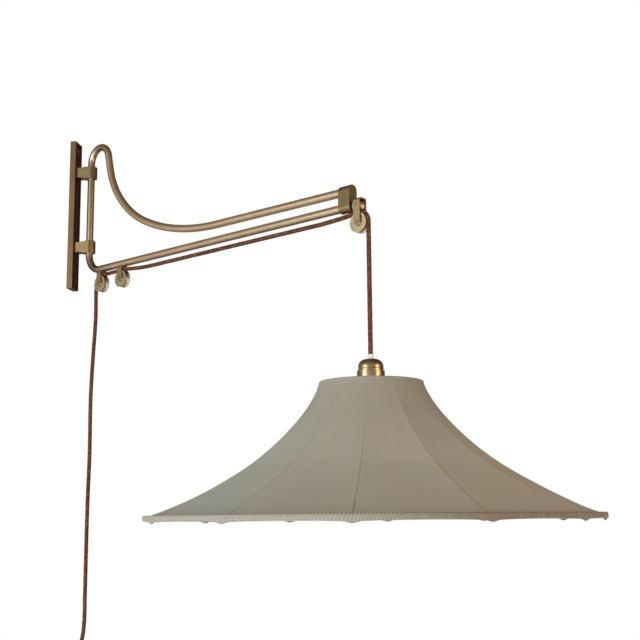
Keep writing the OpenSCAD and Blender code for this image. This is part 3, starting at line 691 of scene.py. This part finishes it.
glaze = Finish("ceramic")
glaze_waves = glaze.clouds(glaze.place(), 220.0, 3.0)
glaze.wear(
    {
        "Base Color": glaze.tint(glaze_waves, (0.72, 0.69, 0.60), (0.84, 0.82, 0.76)),
        "Roughness": 0.12 + 0.15 * glaze_waves,
        "Coat Weight": 0.3 + 0.2 * glaze_waves,
        "Normal": glaze.relief(glaze_waves, 0.00008, glaze.softened(0.0006)),
    }
)
put_on(glaze.material, "holder_insert")

# ---- Bulb ------------------------------------------------------------------------------------
# A 60 mm opal glass bulb on a nickel screw base. It is switched off, so the glass is only
# milky white.
opal = Finish("bulb_glass")
opal_cloud = opal.clouds(opal.place(), 40.0, 2.0)
opal.wear(
    {
        "Base Color": opal.tint(opal_cloud, (0.80, 0.80, 0.77), (0.90, 0.90, 0.88)),
        "Roughness": 0.16 + 0.12 * opal_cloud,
        "Coat Weight": 0.5 + 0.2 * opal_cloud,
        "Subsurface Weight": 0.35,
        "Subsurface Radius": (0.02, 0.02, 0.018),
        "Normal": opal.relief(opal_cloud, 0.00003),
    }
)
put_on(opal.material, "bulb_glass")

# ---- Shade frame -----------------------------------------------------------------------------
# Painted steel wire of 3 mm: two rings, twelve bent ribs and a three-armed fitter under the
# shell's shoulder, spot welded. The pale paint is chipped and a little rusty.
wire_paint = Finish("frame_wire")
wire_place = wire_paint.place()
wire_chips = wire_paint.clouds(wire_place, 520.0, 4.0, 0.65)
wire_dirt = wire_paint.clouds(wire_place, 45.0, 3.0)
bare = wire_chips.step(0.63, 0.68)
wire_paint.wear(
    {
        "Base Color": wire_paint.tint(
            bare, wire_paint.tint(wire_dirt, (0.42, 0.39, 0.31), (0.62, 0.60, 0.53)), (0.16, 0.085, 0.045)
        ),
        "Roughness": 0.4 + 0.4 * bare + 0.1 * wire_dirt,
        "Metallic": 0.3 * bare,
        "Normal": wire_paint.relief(1.0 - bare * 0.6 + wire_chips * 0.2, 0.0001),
    }
)
put_on(wire_paint.material, "shade_spider", "frame_top_ring", "frame_bottom_ring", "frame_ribs")

# ---- Shade cloth -----------------------------------------------------------------------------
# Twelve gores of greyish linen, lined and sewn together at the ribs, then stretched over the
# frame. The cloth draws in between two ribs. Its colour carries painted light and shade: brown
# near the top, cooler and lighter to the left, warmer and darker to the right, and a dark seam
# line at each rib that is partly painted shadow of the wire.
shade_axis = on_arm(drop_x, 0, 0)
shade_turn = math.radians(-34 + 35.7)
gores = 12
rim = (67.0, -344.0, math.radians(23 - 90))
flare = ((168, math.radians(17)), (350, math.radians(19.2)), (980, math.radians(7.2)))
cloth_t = 0.8


def meridian(share):
    """Radius, height and heading of the cloth at a rib, by the share of the way down."""
    lengths = [radius * turn for radius, turn in flare]
    left_over = share * sum(lengths)
    x, z, heading = rim
    for (radius, turn), length in zip(flare, lengths, strict=True):
        part = turn * min(1.0, left_over / length)
        x += radius * (math.sin(heading + part) - math.sin(heading))
        z -= radius * (math.cos(heading + part) - math.cos(heading))
        heading += part
        left_over -= length
        if left_over <= 0:
            break
    return x, z, heading


def shade_point(radius, turn, z):
    """A point on the shade, in millimetres and radians from the first rib."""
    angle = shade_turn + turn
    return shade_axis + Vector((radius * math.cos(angle), radius * math.sin(angle), z)) / 1000


def cloth_place(share, gore, across, depth):
    """A point of the cloth: across runs from 0 at one rib to 1 at the next."""
    x, z, heading = meridian(share)
    gore_width = 2 * math.pi * x / gores
    bow = math.sin(math.pi * across)
    draw = 1 - 0.042 * math.sin(math.pi * min(1, share * 1.02)) ** 0.8 * bow
    hem = 2.0 * share**6 * bow
    beside = min(across, 1 - across) * gore_width
    groove = -0.3 * math.exp(-((beside / 0.8) ** 2))
    lap = 0.35 * math.exp(-(((across - 1) * gore_width + 2.6) / 1.3) ** 4)
    out = groove + lap - depth
    radius = (x - math.sin(heading) * out) * draw
    return shade_point(radius, 2 * math.pi * (gore + across) / gores, z + math.cos(heading) * out + hem)


def cloth_columns(width):
    """Shares across a gore, close together beside both seams."""
    near = [0.0, 0.45, 0.95, 1.6, 2.6, 4.0, 6.0]
    side = [place / width for place in near]
    middle_steps = 12
    first = side[-1]
    middles = [first + (1 - 2 * first) * i / middle_steps for i in range(1, middle_steps)]
    return side + middles + [1 - share for share in reversed(side[1:])]


def shade_cloth(*finishes):
    rows = 64
    shape = bmesh.new()
    maps = shape.loops.layers.uv.new("cut")
    layers = []
    for depth in (0.0, cloth_t):
        grid = []
        for row in range(rows + 1):
            share = row / rows
            width = 2 * math.pi * meridian(share)[0] / gores
            line = []
            for gore in range(gores):
                for across in cloth_columns(width):
                    spot = (gore, across, share)
                    line.append((shape.verts.new(cloth_place(share, gore, across, depth)), spot))
            grid.append(line)
        layers.append(grid)
    count = len(layers[0][0])

    def panel(corners, material):
        face = shape.faces.new([vert for vert, _ in corners])
        face.smooth = True
        face.material_index = material
        closing = max(gore + across for _, (gore, across, _) in corners) > gores - 0.5
        for corner, (_, (gore, across, share)) in zip(face.loops, corners, strict=True):
            u = gore + across
            corner[maps].uv = (u + gores if closing and u < 1 else u, share)

    outside, lining = layers
    for row in range(rows):
        for k in range(count):
            after = (k + 1) % count
            panel((outside[row][k], outside[row + 1][k], outside[row + 1][after], outside[row][after]), 0)
            panel((lining[row][k], lining[row][after], lining[row + 1][after], lining[row + 1][k]), 1)
    for k in range(count):
        after = (k + 1) % count
        panel((outside[0][k], outside[0][after], lining[0][after], lining[0][k]), 0)
        panel((outside[rows][k], lining[rows][k], lining[rows][after], outside[rows][after]), 0)
    return make_piece("shade_cloth", shape, *finishes)


def linen(name, cool, warm, thread_relief):
    cloth = Finish(name)
    where = cloth.place()
    cut = cloth.node("ShaderNodeUVMap", {"uv_map": "cut"})
    gore = cloth.axis(cut, "X")
    down = cloth.axis(cut, "Y")
    across = gore.math("FRACT", gore)
    warp = (gore * 2 * math.pi * 150.0).sine()
    weft = (down * 2 * math.pi * 330.0).sine()
    slubs = cloth.clouds(cloth.stretched(cut, (60.0, 4.0, 1.0)), 3.0, 3.0)
    threads = cloth.clouds(cloth.stretched(cut, (4.0, 160.0, 1.0)), 3.0, 3.0)
    cast = cloth.clouds(where, 7.0, 3.0, 0.5)
    streaks = cloth.clouds(cloth.stretched(cut, (9.0, 1.3, 1.0)), 1.0, 3.0)
    # Cooler and lighter to the left, warmer to the right: painted light and shade across the cloth.
    painted_light_across = (cloth.axis(where, "X") - 0.5) * 1.1
    tone = (cast * 0.9 + streaks * 0.7 - 0.3 + painted_light_across).within()
    # Brown near the top, more so to the right: painted shade on the steep upper cloth.
    painted_top_shade = (1.0 - down * 2.1).within() * (0.56 + painted_light_across * 2.2).within()
    body = cloth.tint(painted_top_shade, cloth.tint(tone, cool, warm), (0.225, 0.19, 0.145))
    thread_shade = (0.5 + (slubs - 0.5) * 0.5 + (threads - 0.5) * 0.5).within()
    woven = cloth.tint(0.16 * thread_shade.step(0.62, 0.35), body, (0.20, 0.17, 0.13))
    # A thin dark line at each rib: the seam, and painted shadow of the wire under it.
    seam_shadow_mask = (0.5 - abs(across - 0.5)).step(0.008, 0.001)
    turned_in = (across - 0.957).step(0.0, 0.006) * (0.995 - across).step(0.0, 0.006)
    lapped = cloth.tint(turned_in * 0.12, woven, (0.46, 0.44, 0.38))
    seam_and_wire_shadow = cloth.tint(seam_shadow_mask * 0.6, lapped, (0.15, 0.115, 0.08))
    weave = warp * 0.12 + weft * 0.12 + slubs * 0.4 + threads * 0.4
    return cloth.wear(
        {
            "Base Color": seam_and_wire_shadow,
            "Roughness": (0.62 + 0.2 * thread_shade).within(0.4, 0.95),
            "Sheen Weight": 0.18,
            "Sheen Roughness": 0.45,
            "Normal": cloth.relief(weave, thread_relief),
        }
    )


outer_linen = linen("shade_cloth", (0.375, 0.455, 0.42), (0.425, 0.375, 0.29), 0.00012)
lining_linen = linen("shade_lining", (0.68, 0.66, 0.60), (0.74, 0.70, 0.62), 0.00008)
gores_sewn = shade_cloth(outer_linen, lining_linen)
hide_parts("shade_fabric")
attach(gores_sewn, "lamp")

# ---- Braids on the shade's rims --------------------------------------------------------------
# A whipped cotton braid is glued round the upper rim, and a wider one over the hem. Under each
# rib the hem's braid bulges where the wire is turned over the ring.


def braid_band(name, outline, columns, reach, line_z, dip, strand, lean, depth, finish):
    """A band swept round the shade. outline is [(out, up, strand share)], in millimetres from
    the band's line, whose radius is reach and whose height is line_z. dip gives how far its
    lower edge is moved up, by angle."""
    shape = bmesh.new()
    maps = shape.loops.layers.uv.new("wrap")
    strand_count = round(2 * math.pi * reach / strand)
    rings = []
    for k in range(columns):
        turn = 2 * math.pi * k / columns
        ring = []
        for i, (out, up, share) in enumerate(outline):
            phase = strand_count * k / columns + lean * i / (len(outline) - 1)
            raised = depth * share * (abs(math.sin(math.pi * phase)) ** 0.7 - 0.5)
            low = dip(turn) * (1 if up < 0 else 0)
            ring.append(shape.verts.new(shade_point(reach + out + raised, turn, line_z + up + low)))
        rings.append(ring)
    for k in range(columns):
        after = (k + 1) % columns
        for i in range(len(outline)):
            nxt = (i + 1) % len(outline)
            face = shape.faces.new((rings[k][i], rings[k][nxt], rings[after][nxt], rings[after][i]))
            face.smooth = True
            spots = ((k, i), (k, i + 1), (k + 1, i + 1), (k + 1, i))
            for corner, (u, v) in zip(face.loops, spots, strict=True):
                corner[maps].uv = (u * strand_count / columns, v / len(outline))
    bmesh.ops.recalc_face_normals(shape, faces=shape.faces)
    return make_piece(name, shape, finish)


def braid_finish():
    """Cotton and viscose gimp: pale grey strands, with painted shade that makes them browner and darker
    to the right, in the valleys between strands and along each ply.
    """
    yarn = Finish("braid_trim")
    where = yarn.place()
    wrap = yarn.node("ShaderNodeUVMap", {"uv_map": "wrap"})
    u = yarn.axis(wrap, "X")
    v = yarn.axis(wrap, "Y")
    ply = ((u * 3.0 + v * 6.0) * math.pi).sine()
    fuzz = yarn.clouds(where, 1900.0, 3.0)
    blots = yarn.clouds(where, 110.0, 4.0, 0.6)
    strand = u.math("FLOOR", u + v)
    lots = yarn.node("ShaderNodeTexWhiteNoise", {"noise_dimensions": "1D"}, {"W": strand}, "Value")
    # Browner and darker to the right: painted shade on the dim side.
    painted_right_shade = (yarn.axis(where, "X") + (blots - 0.5) * 0.12).step(0.50, 0.74)
    pale = yarn.tint(blots, (0.29, 0.28, 0.25), (0.395, 0.38, 0.345))
    brown = yarn.tint(blots, (0.12, 0.09, 0.052), (0.195, 0.155, 0.10))
    shaded_to_right = yarn.tint(painted_right_shade, pale, brown)
    flecked = yarn.tint(lots.step(0.7, 0.9) * 0.1, shaded_to_right, (0.44, 0.40, 0.32))
    # Darker in the valleys between strands and across half of each ply: painted shade.
    valley = (1.0 - abs(((u + v * 1.8) * math.pi).sine())) ** 2
    valley_painted_shade = yarn.tint(valley * 0.6, flecked, (0.13, 0.105, 0.08))
    strand_painted_shade = yarn.tint((0.5 + 0.5 * ply) * 0.16, valley_painted_shade, (0.16, 0.13, 0.09))
    return yarn.wear(
        {
            "Base Color": strand_painted_shade,
            "Roughness": 0.6 + 0.25 * fuzz,
            "Sheen Weight": 0.3,
            "Sheen Roughness": 0.4,
            "Normal": yarn.relief(ply * 0.3 + fuzz * 0.5 + 0.35, 0.00025),
        }
    )


gimp = braid_finish()
top_line_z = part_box("top_trim")[1].z * 1000 - 4.25
top_outline = [(-1.2, 3.9, 0.2), (0.2, 4.3, 0.6), (1.0, 3.2, 1), (0.9, 1.6, 1), (1.35, 0, 1)]
top_outline += [(1.95, -1.6, 1), (2.9, -3.2, 1), (2.9, -4.1, 0.6)]
top_outline += [(1.5, -4.0, 0.2), (0.2, -1.0, 0), (-0.8, 1.2, 0)]
upper_braid = braid_band(
    "upper_braid",
    top_outline,
    columns=720,
    reach=67.4,
    line_z=top_line_z,
    dip=lambda turn: 0.0,
    strand=2.4,
    lean=1.6,
    depth=0.9,
    finish=gimp,
)
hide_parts("top_trim")
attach(upper_braid, "lamp")

hem_low, hem_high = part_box("bottom_trim")
hem_z = (hem_low.z + hem_high.z) * 500
hem_r = 291.4
ring_r = 292


def bulge(turn):
    """How far the hem's lower edge is moved up at an angle, in millimetres: down at a rib."""
    beside = (turn * gores / (2 * math.pi) + 0.5) % 1 - 0.5
    arc = beside * 2 * math.pi / gores * ring_r
    return -2.2 * math.exp(-((arc / 6.5) ** 2)) + 1.4 * (1 - math.cos(2 * math.pi * abs(beside))) / 2


hem_outline = [(-0.6, 4.0, 0.3), (0.5, 4.2, 0.6), (1.3, 3.2, 1), (1.5, 1.8, 1), (1.7, 0.2, 1)]
hem_outline += [(1.7, -1.4, 1), (1.4, -2.8, 1), (0.6, -3.8, 0.7)]
hem_outline += [(-0.6, -4.0, 0.4), (-1.2, -2.4, 0), (-1.0, 0.5, 0)]
lower_braid = braid_band(
    "lower_braid",
    hem_outline,
    columns=2232,
    reach=hem_r,
    line_z=hem_z,
    dip=bulge,
    strand=4.1,
    lean=1.8,
    depth=1.0,
    finish=gimp,
)
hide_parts("bottom_trim")
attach(lower_braid, "lamp")
